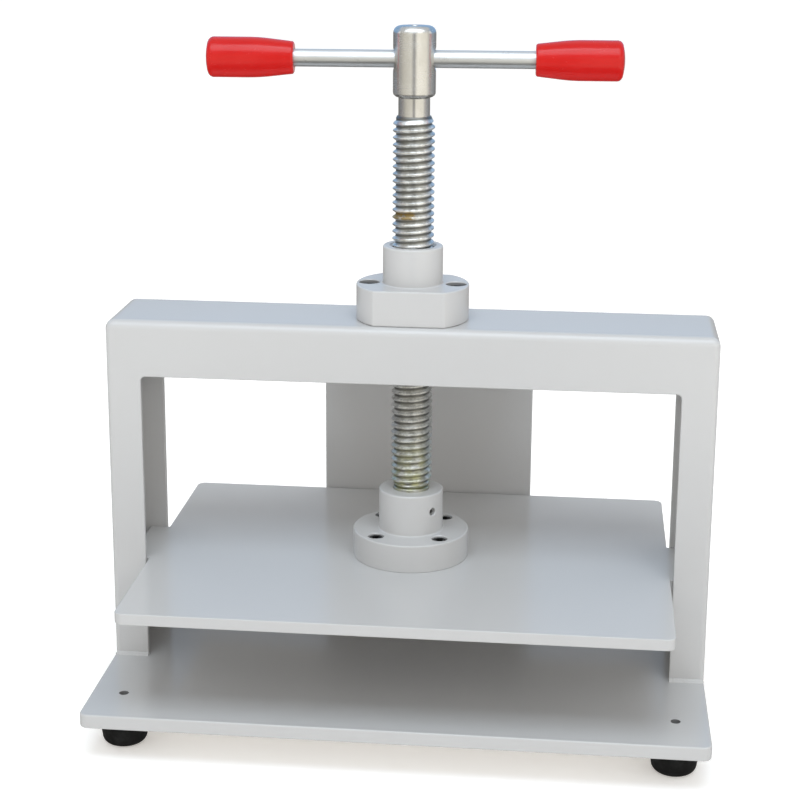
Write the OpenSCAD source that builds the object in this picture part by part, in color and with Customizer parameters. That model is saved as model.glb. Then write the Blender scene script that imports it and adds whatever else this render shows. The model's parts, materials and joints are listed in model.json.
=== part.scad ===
// Bookbinding press. A folded steel frame stands on a base plate, and a lead screw
// runs through a nut on the frame's beam. The screw's lower end turns in a socket on
// the platen, so turning the handle drives the platen down onto the book.
// Millimetres. +Z is up, +X is to the operator's right, and the operator is at -Y.
// The origin is on the floor, under the middle of the base plate.

/* [Base plate] */
// Width of the base plate, and of the frame that stands on it
base_w = 424; // [410:1:430]
// Depth of the base plate, front to rear
base_d = 280; // [270:5:300]
// Thickness of the base plate
base_t = 10; // [8:1:14]
// Radius of the base plate's corners
base_corner_r = 6; // [3:1:12]
// Distance of each foot's centre in from the base plate's end
foot_inset_x = 22.5; // [18:0.5:26]
// Distance of each foot's centre in from the base plate's front or rear edge
foot_inset_y = 37; // [25:1:45]

/* [Feet] */
// Height of a rubber foot
foot_h = 25; // [20:1:28]
// Diameter of a foot where it meets the base plate
foot_top_d = 34.5; // [33:0.5:36]
// Diameter of the flat of a foot, on the floor
foot_floor_d = 20; // [17:1:20]

/* [Frame] */
// Distance of the screw's axis behind the middle of the base plate
screw_y = -3; // [-8:1:8]
// Width of a post, seen from the front
post_w = 24.5; // [22:0.5:26]
// Depth of the posts and the beam, front to rear
frame_d = 72; // [68:1:80]
// Wall of the folded steel that the frame is made of
wall = 3.5; // [3:0.5:4]
// Outer radius of the beam's folds
fold_r = 6; // [5:0.5:7]
// Outer radius of the posts' folds
post_fold_r = 4; // [4:0.5:6]
// Height of the window between the posts, from the base plate to the beam
window_h = 210; // [200:5:240]
// Height of the beam
beam_h = 40; // [36:1:50]
// Radius of the window's upper corners
window_corner_r = 3.5; // [2:0.5:8]
// Half width of the core block inside the beam
core_half_w = 52; // [46:1:60]
// Width of the brace behind the frame
brace_w = 164; // [140:2:180]
// Plate thickness of the brace
brace_t = 4; // [3:0.5:5]
// Height of the brace's top face above the base plate
brace_h = 216; // [214:1:230]

/* [Nut on the beam] */
// Diameter of the nut's flange
nut_flange_d = 79; // [76:1:82]
// Thickness of the nut's flange
nut_flange_t = 25; // [22:1:28]
// Distance between the two flats on the nut's flange
nut_flats = 62; // [56:1:66]
// Diameter of the nut's boss
nut_boss_d = 42; // [40:1:44]
// Height of the nut above the beam
nut_h = 52; // [46:1:58]
// Distance between the nut's two bolts
nut_bolt_spacing = 61; // [60:1:62]

/* [Lead screw] */
// Outside diameter of the thread
screw_d = 29; // [26:0.5:30]
// Pitch of the right-hand thread
pitch = 5; // [5:1:6]
// Depth of the thread
thread_depth = 2.2; // [2:0.1:2.8]
// Length of the thread
thread_len = 265; // [250:5:270]
// Diameter of the plain journal below the thread
journal_d = 25.5; // [24:0.5:26]
// Diameter of the neck between the thread and the head
neck_d = 21.8; // [21:0.2:22.4]
// Length of the neck
neck_len = 13; // [10:1:16]
// Diameter of the head
head_d = 29.4; // [28:0.2:30]
// Length of the head
head_len = 48; // [44:1:54]
// Height of the handle bar's axis above the head's lower face
bar_rise = 25.6; // [22:0.2:28]

/* [Handle] */
// Diameter of the handle bar
bar_d = 12; // [10:0.5:12]
// Angle between the handle bar and the X axis
bar_angle = 3; // [0:0.5:30]
// Distance from the screw's axis to the inner end of each grip
grip_start = 82; // [70:1:90]
// Length of a grip
grip_len = 60; // [56:1:66]
// Largest diameter of a grip
grip_d = 27.5; // [26:0.5:30]
// Diameter of a grip at its inner end
grip_neck_d = 22; // [20:0.5:24]

/* [Platen] */
// Gap between the platen and the base plate, as drawn
daylight = 66.6; // [20:0.2:110]
// Thickness of the platen
platen_t = 8; // [6:1:9]
// Depth of the platen, front to rear
platen_d = 274; // [270:1:274]
// Gap between the platen and each post
platen_side_gap = 2; // [2:0.5:5]
// How far each guide tab reaches into its post
tab_reach = 12.5; // [8:0.5:14]
// Clearance between a guide tab and the inside of its post, on each side
tab_gap = 0.5; // [0.4:0.1:1]

/* [Screw socket on the platen] */
// Diameter of the socket's flange
socket_flange_d = 83; // [80:1:86]
// Thickness of the socket's flange
socket_flange_t = 20; // [18:1:22]
// Diameter of the socket's boss
socket_boss_d = 46; // [42:1:46]
// Height of the socket above the platen
socket_h = 50; // [48:1:54]
// Diameter of the circle that the socket's four bolts lie on
socket_pcd = 64; // [63:1:66]
// Angle of the retaining screw from the X axis
retainer_angle = -42; // [-50:1:-38]

/* [Hidden] */
$fn = 64;

// Heights from the floor
base_top = foot_h + base_t;
beam_bottom = base_top + window_h;
beam_top = beam_bottom + beam_h;
nut_top = beam_top + nut_h;
platen_top = base_top + daylight + platen_t;
socket_top = platen_top + socket_h;

// Plan of the base and the frame
foot_x = base_w / 2 - foot_inset_x;
foot_y = base_d / 2 - foot_inset_y;
frame_x = base_w / 2;
window_x = frame_x - post_w;
frame_front = screw_y - frame_d / 2;
frame_rear = screw_y + frame_d / 2;
inside_d = frame_d - 2 * wall;
platen_w = 2 * (window_x - platen_side_gap);
platen_front = -base_d / 2;
corner_r = 6;
weld_leg = 2.5;
weld_bulge_share = 0.62;
edge = 0.8;
arc_steps = 8;

// Running fits and clearances, all radial
thread_gap = 0.3;
journal_gap = 0.05;
bar_gap = 0.08;
seat_gap = 0.05;
cut = 1;

// Feet and their M6 screws
m6_r = 3;
m6_clear_r = 3.3;
foot_recess_r = 6.2;
foot_round_r = 5.5;
foot_wall_share = 0.6;
foot_chamfer = 0.5;
foot_recess_h = 9.5;
washer_t = 1.5;
washer_r = 5.9;
pan_head_r = 5;
pan_head_h = 4.5;
screw_end_drop = 3;
foot_key_r = 2.3;
foot_key_h = 2.5;

// M8 bolts of the nut on the beam
m8_r = 4;
m8_clear_r = 4.4;
m8_head_r = 6.5;
m8_head_h = 8;
m8_counterbore_r = 7.25;
m8_counterbore_h = 10.2;
m8_len = 40;
m8_key = 6;
beam_bore_r = 16;
nut_mouth_lip = 1.3;

// M6 bolts of the socket on the platen
m6_head_r = 5;
m6_head_h = 6;
m6_counterbore_r = 5.6;
m6_counterbore_h = 7;
m6_end_gap = 0.6;
m6_key = 5;

// Inside the socket
socket_floor = platen_top + 6;
thrust_t = 3;
thrust_gap = 0.1;
screw_end = socket_floor + thrust_t;
retainer_z = platen_top + 37;
retainer_r = 2.6;
retainer_sink = 2;
retainer_tip_r = 1.8;
retainer_tip_len = 3;
retainer_tip_gap = 0.4;
retainer_key_r = 1.5;
retainer_key_h = 2.5;
groove_half = 2.4;
groove_r = journal_d / 2 - 2;

// The lead screw's thread, as shares of its pitch, and the screw's chamfers
root_half_share = 0.14;
crest_half_share = 0.1;
journal_chamfer = 1;
bar_hole_lip = 1.2;

// Heights along the lead screw
journal_show = 2;
thread_bottom = socket_top + journal_show;
thread_top = thread_bottom + thread_len;
head_bottom = thread_top + neck_len;
head_top = head_bottom + head_len;
bar_z = head_bottom + bar_rise;
head_edge_r = 5;
head_chamfer = 3;
centre_hole_r = 3;
centre_hole_h = 2.6;

// Inside the grips
bar_end_r = 5;
bar_end_len = 30;
insert_r = 7;
insert_len = 34;
insert_start = 2;
grip_taper_len = 24;
grip_end_r = 5;
grip_dome = 1;
grip_chamfer = 1;

enamel = "#c6c9cb";
bright_steel = "#b9bbbd";
zinc_steel = "#9ea3a5";
black_steel = "#2b2b2d";
bronze = "#a98648";
rubber = "#161616";
red_plastic = "#cf1712";

// A rectangle centred on the origin with all four corners rounded
module rounded_plan(w, d, r) {
  square([w - 2 * r, d], center = true);
  square([w, d - 2 * r], center = true);
  for (x = [-1, 1], y = [-1, 1])
    translate([x * (w / 2 - r), y * (d / 2 - r)]) circle(r);
}

// A stepped solid of revolution with small chamfers on its outer edges
module turned_flange(flange_r, flange_t, boss_r, h) {
  rotate_extrude() polygon([
    [0, 0],
    [flange_r - edge / 2, 0],
    [flange_r, edge / 2],
    [flange_r, flange_t - edge],
    [flange_r - edge, flange_t],
    [boss_r, flange_t],
    [boss_r, h - edge],
    [boss_r - edge, h],
    [0, h]
  ]);
}

// A socket-head cap screw whose head stands on z = 0 and whose shank points down
module cap_screw(shank_r, shank_len, head_r, head_h, key_af) {
  key_r = key_af / sqrt(3);
  difference() {
    union() {
      cylinder(r = head_r, h = head_h - edge / 2);
      translate([0, 0, head_h - edge / 2])
        cylinder(r1 = head_r, r2 = head_r - edge / 2, h = edge / 2);
      translate([0, 0, -shank_len]) cylinder(r = shank_r, h = shank_len + cut);
    }
    translate([0, 0, head_h / 2]) cylinder(r = key_r, h = head_h, $fn = 6);
  }
}

// Everything that stands on the screw's axis
module on_axis(z) {
  translate([0, screw_y, z]) children();
}

// The four places of the socket's bolts
module at_socket_bolts() {
  for (a = [45 : 90 : 315])
    rotate([0, 0, a]) translate([socket_pcd / 2, 0, 0]) children();
}

// The two places of the nut's bolts
module at_nut_bolts() {
  for (x = [-1, 1])
    translate([x * nut_bolt_spacing / 2, 0, 0]) children();
}

// The four places of the feet
module at_feet() {
  for (x = [-1, 1], y = [-1, 1])
    translate([x * foot_x, y * foot_y, 0]) children();
}

module base_plate() {
  color(enamel)
    translate([0, 0, foot_h])
      difference() {
        linear_extrude(base_t) rounded_plan(base_w, base_d, base_corner_r);
        at_feet() translate([0, 0, -cut]) cylinder(r = m6_r, h = base_t + 2 * cut);
      }
}

module foot(x, y) {
  floor_r = foot_floor_d / 2;
  top_r = foot_top_d / 2;
  color(rubber)
    translate([x * foot_x, y * foot_y, 0])
      difference() {
        rotate_extrude() polygon(concat(
          [[0, 0]],
          [for (i = [arc_steps : -1 : 0])
            let (a = 90 * i / arc_steps)
              [floor_r + foot_round_r * cos(a), foot_round_r * (1 - sin(a))]],
          [
            [top_r, foot_h * foot_wall_share],
            [top_r, foot_h - foot_chamfer],
            [top_r - foot_chamfer, foot_h],
            [0, foot_h]
          ]
        ));
        translate([0, 0, -cut]) cylinder(r = foot_recess_r, h = foot_recess_h + cut);
        cylinder(r = m6_clear_r, h = foot_h + cut);
      }
}

module foot_screws() {
  head_top_z = foot_recess_h - washer_t;
  color(zinc_steel)
    at_feet()
      difference() {
        union() {
          translate([0, 0, head_top_z - pan_head_h]) cylinder(r = pan_head_r, h = pan_head_h);
          translate([0, 0, head_top_z - cut])
            cylinder(r = m6_r - seat_gap, h = base_top - screw_end_drop - head_top_z + cut);
        }
        translate([0, 0, head_top_z - pan_head_h - cut])
          cylinder(r = foot_key_r, h = cut + foot_key_h, $fn = 6);
      }
}

module foot_washers() {
  color(zinc_steel)
    at_feet()
      translate([0, 0, foot_recess_h - washer_t])
        difference() {
          cylinder(r = washer_r, h = washer_t);
          translate([0, 0, -cut]) cylinder(r = m6_clear_r, h = washer_t + 2 * cut);
        }
}

// A right-hand post: a channel folded from plate, open towards the middle
module post_plan() {
  difference() {
    union() {
      translate([window_x, frame_front]) square([post_w - post_fold_r, frame_d]);
      translate([window_x, frame_front + post_fold_r]) square([post_w, frame_d - 2 * post_fold_r]);
      for (y = [frame_front + post_fold_r, frame_rear - post_fold_r])
        translate([frame_x - post_fold_r, y]) circle(post_fold_r);
    }
    translate([window_x - cut, frame_front + wall])
      square([post_w - wall + cut, inside_d]);
  }
}

module right_post() {
  color(enamel) translate([0, 0, base_top]) linear_extrude(window_h) post_plan();
}

module left_post() {
  color(enamel) mirror([1, 0, 0]) translate([0, 0, base_top]) linear_extrude(window_h)
    post_plan();
}

// End view of the beam: y across, z up, with the two upper folds rounded
module beam_outline() {
  translate([frame_front, beam_bottom]) square([frame_d, beam_h - fold_r]);
  translate([frame_front + fold_r, beam_bottom]) square([frame_d - 2 * fold_r, beam_h]);
  for (y = [frame_front + fold_r, frame_rear - fold_r])
    translate([y, beam_top - fold_r]) circle(fold_r);
}

// A fillet that fills one upper corner of the window in the front or rear wall
module window_fillet(side, y) {
  r = window_corner_r;
  translate([side * (window_x - r / 2), y + wall / 2, beam_bottom - r / 2])
    difference() {
      cube([r, wall, r], center = true);
      translate([-side * r / 2, 0, -r / 2]) rotate([90, 0, 0])
        cylinder(r = r, h = wall + 2 * cut, center = true);
    }
}

module top_beam() {
  color(enamel) {
    difference() {
      translate([-frame_x, 0, 0]) rotate([90, 0, 90])
        linear_extrude(base_w) beam_outline();
      translate([-frame_x + wall, frame_front + wall, beam_bottom - cut])
        cube([base_w - 2 * wall, inside_d, beam_h - wall + cut]);
      on_axis(beam_top - wall - cut) cylinder(r = beam_bore_r, h = wall + 2 * cut);
      on_axis(beam_top - wall - cut) at_nut_bolts()
        cylinder(r = m8_clear_r, h = wall + 2 * cut);
    }
    for (side = [-1, 1], y = [frame_front, frame_rear - wall])
      window_fillet(side, y);
  }
}

module beam_bottom_plate() {
  color(enamel)
    difference() {
      translate([-frame_x + wall, frame_front + wall, beam_bottom])
        cube([base_w - 2 * wall, inside_d, wall]);
      on_axis(beam_bottom - cut) cylinder(r = beam_bore_r, h = wall + 2 * cut);
    }
}

module beam_core_block() {
  core_h = beam_h - 2 * wall;
  color(black_steel)
    difference() {
      translate([-core_half_w, frame_front + wall, beam_bottom + wall])
        cube([2 * core_half_w, inside_d, core_h]);
      on_axis(beam_bottom + wall - cut) {
        cylinder(r = beam_bore_r, h = core_h + 2 * cut);
        at_nut_bolts() cylinder(r = m8_r + seat_gap, h = core_h + 2 * cut);
      }
    }
}

// A bent plate: upright from the base plate's rear edge, then forward to the beam
module rear_brace() {
  bend_r = brace_t + 2;
  rear = base_d / 2;
  top = base_top + brace_h;
  color(enamel)
    translate([-brace_w / 2, 0, 0]) rotate([90, 0, 90]) linear_extrude(brace_w) {
      translate([rear - brace_t, base_top]) square([brace_t, brace_h - bend_r]);
      translate([frame_rear, top - brace_t]) square([rear - bend_r - frame_rear, brace_t]);
      translate([rear - bend_r, top - bend_r]) intersection() {
        difference() {
          circle(bend_r);
          circle(bend_r - brace_t);
        }
        square(bend_r);
      }
    }
}

// A straight fillet weld along X, its throat facing -Y
module weld_run(length) {
  bulge = weld_leg * weld_bulge_share;
  rotate([90, 0, 90]) linear_extrude(length)
    polygon([[0, 0], [-weld_leg, 0], [-bulge, bulge], [0, weld_leg]]);
}

module post_welds() {
  run = post_w - post_fold_r;
  color(enamel)
    for (side = [0, 1]) mirror([side, 0, 0]) translate([0, 0, base_top]) {
      translate([window_x, frame_front, 0]) weld_run(run);
      translate([window_x, frame_rear, 0]) mirror([0, 1, 0]) weld_run(run);
    }
}

module main_nut() {
  bore_r = screw_d / 2 + thread_gap;
  color(enamel)
    on_axis(beam_top)
      difference() {
        intersection() {
          turned_flange(nut_flange_d / 2, nut_flange_t, nut_boss_d / 2, nut_h);
          translate([0, 0, nut_h / 2])
            cube([nut_flange_d + cut, nut_flats, nut_h + cut], center = true);
        }
        translate([0, 0, -cut]) cylinder(r = bore_r, h = nut_h + 2 * cut);
        translate([0, 0, nut_h - nut_mouth_lip])
          cylinder(r1 = bore_r, r2 = bore_r + nut_mouth_lip, h = nut_mouth_lip);
        at_nut_bolts() {
          translate([0, 0, -cut]) cylinder(r = m8_clear_r, h = nut_flange_t + 2 * cut);
          translate([0, 0, nut_flange_t - m8_counterbore_h])
            cylinder(r = m8_counterbore_r, h = m8_counterbore_h + cut);
        }
      }
}

module main_nut_bolts() {
  seat = nut_flange_t - m8_counterbore_h;
  color(black_steel)
    on_axis(beam_top + seat) at_nut_bolts()
      cap_screw(m8_r, m8_len, m8_head_r, m8_head_h, m8_key);
}

module platen() {
  tab_w = platen_w + 2 * (platen_side_gap + tab_reach);
  tab_d = inside_d - 2 * tab_gap;
  color(enamel)
    translate([0, 0, platen_top - platen_t])
      difference() {
        linear_extrude(platen_t) {
          translate([0, platen_front + platen_d / 2])
            rounded_plan(platen_w, platen_d, corner_r);
          translate([-tab_w / 2, screw_y - tab_d / 2]) square([tab_w, tab_d]);
        }
        on_axis(-cut) at_socket_bolts() cylinder(r = m6_r + seat_gap, h = platen_t + 2 * cut);
      }
}

module screw_socket() {
  floor_t = socket_floor - platen_top;
  color(enamel)
    on_axis(platen_top)
      difference() {
        turned_flange(socket_flange_d / 2, socket_flange_t, socket_boss_d / 2, socket_h);
        translate([0, 0, floor_t])
          cylinder(r = journal_d / 2 + journal_gap, h = socket_h);
        at_socket_bolts() {
          translate([0, 0, -cut]) cylinder(r = m6_clear_r, h = socket_flange_t + 2 * cut);
          translate([0, 0, socket_flange_t - m6_counterbore_h])
            cylinder(r = m6_counterbore_r, h = m6_counterbore_h + cut);
        }
        translate([0, 0, retainer_z - platen_top]) rotate([0, 90, retainer_angle])
          cylinder(r = retainer_r + seat_gap, h = socket_boss_d);
      }
}

module socket_bolts() {
  seat = socket_flange_t - m6_counterbore_h;
  color(black_steel)
    on_axis(platen_top + seat) at_socket_bolts()
      cap_screw(m6_r, seat + platen_t - m6_end_gap, m6_head_r, m6_head_h, m6_key);
}

// A set screw through the boss. Its tip lies in the journal's groove and lifts the platen.
module retaining_screw() {
  tip = groove_r + retainer_tip_gap;
  body_start = tip + retainer_tip_len;
  body_end = socket_boss_d / 2 - retainer_sink;
  color(zinc_steel)
    on_axis(retainer_z) rotate([0, 90, retainer_angle])
      difference() {
        union() {
          translate([0, 0, tip]) cylinder(r = retainer_tip_r, h = retainer_tip_len + cut);
          translate([0, 0, body_start]) cylinder(r = retainer_r, h = body_end - body_start);
        }
        translate([0, 0, body_end - retainer_key_h])
          cylinder(r = retainer_key_r, h = retainer_key_h + cut, $fn = 6);
      }
}

module thrust_washer() {
  color(bronze) on_axis(socket_floor) cylinder(r = journal_d / 2 - thrust_gap, h = thrust_t);
}

// One turn of the thread as four points, starting at height z
function thread_turn(z, crest_r, root_r) = [
  [root_r, z + pitch * root_half_share],
  [crest_r, z + pitch * (0.5 - crest_half_share)],
  [crest_r, z + pitch * (0.5 + crest_half_share)],
  [root_r, z + pitch * (1 - root_half_share)]
];

// A quarter circle of radius r that starts on the side x = side_r at height z, and
// turns inwards and upwards
function quarter_round(side_r, z, r) = [
  for (i = [0 : arc_steps])
    let (a = 90 * i / arc_steps) [side_r - r * (1 - cos(a)), z + r * sin(a)]
];

module lead_screw() {
  crest_r = screw_d / 2;
  end_crest_r = crest_r - thread_depth / 2;
  root_r = crest_r - thread_depth;
  journal_r = journal_d / 2;
  turns = floor(thread_len / pitch);
  thread_points = [
    for (i = [0 : turns - 1])
      let (at_end = i == 0 || i == turns - 1)
        each thread_turn(thread_bottom + i * pitch, at_end ? end_crest_r : crest_r, root_r)
  ];
  outline = concat(
    [
      [0, screw_end],
      [journal_r - journal_chamfer, screw_end],
      [journal_r, screw_end + journal_chamfer],
      [journal_r, retainer_z - groove_half],
      [groove_r, retainer_z - groove_half],
      [groove_r, retainer_z + groove_half],
      [journal_r, retainer_z + groove_half],
      [journal_r, thread_bottom]
    ],
    thread_points,
    [
      [root_r, thread_top],
      [neck_d / 2, thread_top],
      [neck_d / 2, head_bottom],
      [head_d / 2 - head_chamfer, head_bottom],
      [head_d / 2, head_bottom + head_chamfer]
    ],
    quarter_round(head_d / 2, head_top - head_edge_r, head_edge_r),
    [
      [centre_hole_r, head_top],
      [0, head_top - centre_hole_h]
    ]
  );
  hole_r = bar_d / 2 + bar_gap;
  lip = bar_hole_lip;
  color(bright_steel)
    difference() {
      on_axis(0) rotate_extrude() polygon(outline);
      on_axis(bar_z) rotate([0, 90, bar_angle]) {
        cylinder(r = hole_r, h = 2 * head_d, center = true);
        for (end = [0, 180]) rotate([end, 0, 0]) translate([0, 0, head_d / 2 - 2 * lip])
          cylinder(r1 = hole_r, r2 = hole_r + 3 * lip, h = 3 * lip);
      }
    }
}

// Places something along the handle bar: side 1 is to the right, -1 to the left
module along_bar(side) {
  on_axis(bar_z) rotate([0, 90, bar_angle + (side > 0 ? 0 : 180)]) children();
}

module handle_bar() {
  color(bright_steel)
    for (side = [-1, 1]) along_bar(side) {
      cylinder(r = bar_d / 2, h = grip_start + insert_start);
      cylinder(r = bar_end_r, h = grip_start + insert_start + bar_end_len);
    }
}

module grip(side) {
  r = grip_d / 2;
  neck_r = grip_neck_d / 2;
  shoulder_z = grip_len - grip_end_r - grip_dome;
  color(red_plastic)
    along_bar(side) translate([0, 0, grip_start])
      difference() {
        rotate_extrude() polygon(concat(
          [[0, 0], [neck_r - grip_chamfer, 0], [neck_r, grip_chamfer], [r, grip_taper_len]],
          quarter_round(r, shoulder_z, grip_end_r),
          [[0, grip_len]]
        ));
        translate([0, 0, -cut]) cylinder(r = bar_d / 2 + seat_gap, h = insert_start + cut);
        translate([0, 0, insert_start]) cylinder(r = insert_r + seat_gap, h = insert_len);
      }
}

// A metal sleeve moulded into the grip, tapped for the end of the bar
module grip_insert(side) {
  color(zinc_steel)
    along_bar(side) translate([0, 0, grip_start + insert_start])
      difference() {
        cylinder(r = insert_r, h = insert_len - seat_gap);
        translate([0, 0, -cut]) cylinder(r = bar_end_r + seat_gap, h = bar_end_len + 2 * cut);
      }
}

base_plate();
foot(-1, -1);  // foot_front_left
foot(1, -1);  // foot_front_right
foot(-1, 1);  // foot_rear_left
foot(1, 1);  // foot_rear_right
foot_screws();
foot_washers();
left_post();
right_post();
top_beam();
beam_bottom_plate();
beam_core_block();
rear_brace();
post_welds();
main_nut();
main_nut_bolts();
platen();
screw_socket();
socket_bolts();
retaining_screw();
thrust_washer();
lead_screw();
handle_bar();
grip(-1);  // grip_left
grip(1);  // grip_right
grip_insert(-1);  // grip_insert_left
grip_insert(1);  // grip_insert_right
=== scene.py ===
import json
import math

import bmesh
import bpy
from mathutils import Matrix, Vector


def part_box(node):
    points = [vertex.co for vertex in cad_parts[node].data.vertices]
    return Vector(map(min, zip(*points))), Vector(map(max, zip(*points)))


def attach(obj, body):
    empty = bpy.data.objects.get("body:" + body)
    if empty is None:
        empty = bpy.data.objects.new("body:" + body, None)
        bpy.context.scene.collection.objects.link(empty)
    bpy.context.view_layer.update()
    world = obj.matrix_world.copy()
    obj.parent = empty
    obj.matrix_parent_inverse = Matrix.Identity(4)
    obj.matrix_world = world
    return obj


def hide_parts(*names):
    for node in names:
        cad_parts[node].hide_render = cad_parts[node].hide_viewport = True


# The looks of the bookbinding press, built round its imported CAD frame. Metres, +Z up.
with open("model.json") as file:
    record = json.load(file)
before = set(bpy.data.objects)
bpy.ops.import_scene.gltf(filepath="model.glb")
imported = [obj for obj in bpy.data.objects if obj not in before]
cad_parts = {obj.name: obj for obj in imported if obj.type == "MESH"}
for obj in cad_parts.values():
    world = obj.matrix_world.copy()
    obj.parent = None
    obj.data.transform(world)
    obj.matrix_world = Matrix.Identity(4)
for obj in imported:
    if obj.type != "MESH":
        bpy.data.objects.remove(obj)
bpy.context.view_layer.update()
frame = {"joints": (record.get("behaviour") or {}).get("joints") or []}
MM = 0.001

# ---- places, from the frame
JOINT = {j["name"]: j for j in frame["joints"]}
AXIS_X, AXIS_Y, _ = JOINT["screw_turn"]["pos_m"]
SCREW_AXIS = Vector((AXIS_X, AXIS_Y, 0))
BAR_DIRECTION = Vector(JOINT["bar_slide"]["axis"]).normalized()

BASE_LOW, BASE_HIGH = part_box("base_plate")
POST_LOW, POST_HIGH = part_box("right_post")
PLATEN_LOW, PLATEN_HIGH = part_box("platen")
NUT_LOW, NUT_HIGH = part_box("main_nut")
SOCKET_LOW, SOCKET_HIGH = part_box("screw_socket")
SCREW_LOW, SCREW_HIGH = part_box("lead_screw")
BAR_LOW, BAR_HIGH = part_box("handle_bar")
BRACE_LOW, BRACE_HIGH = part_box("rear_brace")
BEAM_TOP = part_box("top_beam")[1].z
BEAM_BOTTOM = POST_HIGH.z
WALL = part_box("beam_bottom_plate")[0].y - POST_LOW.y
BAR_Z = (BAR_LOW.z + BAR_HIGH.z) / 2

# Sizes that the boxes don't give
BEAM_FOLD_R = 6 * MM
POST_FOLD_R = 4 * MM
FRAME_CORNER_R = 6.05 * MM
WINDOW_R = 3.5 * MM
PLATE_CORNER_R = 6 * MM
EDGE = 0.8 * MM
PITCH = 5 * MM
CREST_R = 14.5 * MM
ROOT_R = 12.3 * MM
THREAD_LEN = 265 * MM
NECK_LEN = 13 * MM
NECK_R = 10.9 * MM
HEAD_R = 14.7 * MM
JOURNAL_R = 12.75 * MM
JOURNAL_SHOW = 2 * MM
BAR_R = 6 * MM
GRIP_START = 82 * MM
BAR_STEP = 84 * MM
BAR_END = 114 * MM
THREAD_LOW = SOCKET_HIGH.z + JOURNAL_SHOW
THREAD_HIGH = THREAD_LOW + THREAD_LEN
RUNOUT = 2.75 * MM
BEAM_HOLE_R = 16 * MM
FOOT_HOLE_R = 3.3 * MM
NUT_BOLT_HEAD_R = 6.5 * MM
NUT_BOLT_SEAT = 14.8 * MM
COUNTERBORE_R = 7.25 * MM
CLEARANCE_R = 4.4 * MM
SOCKET_BOLT_HEAD_R = 5 * MM
SOCKET_BOLT_SEAT = 13 * MM
INSERT_ROOM = 34 * MM

FEET = ["foot_front_left", "foot_front_right", "foot_rear_left", "foot_rear_right"]
SEGMENTS = 128

# The camera, at the photo's angle
VIEW_TURN = math.radians(5.94)
VIEW_TILT = math.radians(-14.29)
VIEW_ROLL = math.radians(0.34)
CAMERA_PLACE = Vector((0.11655, -1.22823, 0.57909))


# ---- mesh helpers
def linked(name, data):
    """An object that shows the data, in the scene."""
    obj = bpy.data.objects.new(name, data)
    bpy.context.scene.collection.objects.link(obj)
    return obj


def mesh_object(name, bm):
    """An object from a bmesh, which is used up."""
    mesh = bpy.data.meshes.new(name)
    bm.to_mesh(mesh)
    bm.free()
    return linked(name, mesh)


def new_object(name, bm):
    """An object from a bmesh, with its doubles merged and its normals outwards."""
    bmesh.ops.remove_doubles(bm, verts=bm.verts, dist=1e-6)
    bmesh.ops.recalc_face_normals(bm, faces=bm.faces)
    return mesh_object(name, bm)


def apply_modifiers(obj):
    """Bakes an object's modifiers into its mesh."""
    graph = bpy.context.evaluated_depsgraph_get()
    graph.update()
    mesh = bpy.data.meshes.new_from_object(obj.evaluated_get(graph))
    obj.modifiers.clear()
    obj.data = mesh


def combine(obj, other, operation):
    """Joins, cuts or intersects obj with other, and removes other."""
    modifier = obj.modifiers.new("combine", "BOOLEAN")
    modifier.operation = operation
    modifier.solver = "EXACT"
    modifier.object = other
    apply_modifiers(obj)
    bpy.data.objects.remove(other)
    return obj


def smooth(obj, angle=32):
    """Smooth shading that keeps edges sharper than the angle, with flat faces kept flat."""
    mesh = obj.data
    mesh.shade_smooth()
    mesh.set_sharp_from_angle(angle=math.radians(angle))
    modifier = obj.modifiers.new("normals", "WEIGHTED_NORMAL")
    modifier.keep_sharp = True
    modifier.weight = 100
    apply_modifiers(obj)
    return obj


def arc(cx, cy, r, start, stop, steps):
    """Points along an arc, its angles in degrees."""
    angles = [math.radians(start + (stop - start) * i / steps) for i in range(steps + 1)]
    return [(cx + r * math.cos(a), cy + r * math.sin(a)) for a in angles]


def rounded(points, closed=True, steps=5):
    """A polyline whose corners (x, y, radius) are rounded. A corner with no radius stays."""
    result = []
    count = len(points)
    for i, (x, y, r) in enumerate(points):
        ends = i in (0, count - 1) and not closed
        if r <= 0 or ends:
            result.append((x, y))
            continue
        here = Vector((x, y))
        before = (Vector(points[i - 1][:2]) - here).normalized()
        after = (Vector(points[(i + 1) % count][:2]) - here).normalized()
        half = before.angle(after) / 2
        reach = r / math.tan(half)
        centre = here + (before + after).normalized() * (r / math.sin(half))
        a, b = here + before * reach - centre, here + after * reach - centre
        turn = a.angle_signed(b)
        for k in range(steps + 1):
            t = -turn * k / steps
            result.append((centre.x + a.x * math.cos(t) - a.y * math.sin(t),
                           centre.y + a.x * math.sin(t) + a.y * math.cos(t)))
    return result


def lathe(name, profile, matrix, segments=SEGMENTS, closed=False, flutes=None):
    """Turns a profile of (radius, height) about Z. Points on the axis become poles.
    flutes is (lowest, highest, depth): between those heights every other segment is cut in."""
    bm = bmesh.new()
    rings = []
    for r, z in profile:
        if r < 1e-9:
            rings.append([bm.verts.new((0, 0, z))])
            continue
        ring = []
        for i in range(segments):
            cut_in = flutes and flutes[0] <= z <= flutes[1] and i % 4 < 2
            radius = r - (flutes[2] if cut_in else 0)
            a = 2 * math.pi * i / segments
            ring.append(bm.verts.new((radius * math.cos(a), radius * math.sin(a), z)))
        rings.append(ring)
    pairs = list(zip(rings, rings[1:]))
    if closed:
        pairs.append((rings[-1], rings[0]))
    for a, b in pairs:
        if len(a) == 1 and len(b) == 1:
            continue
        for i in range(segments):
            j = (i + 1) % segments
            corners = [a[i % len(a)], a[j % len(a)], b[j % len(b)], b[i % len(b)]]
            unique = list(dict.fromkeys(corners))
            bm.faces.new(unique)
    bmesh.ops.transform(bm, matrix=matrix, verts=bm.verts)
    return new_object(name, bm)


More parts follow.
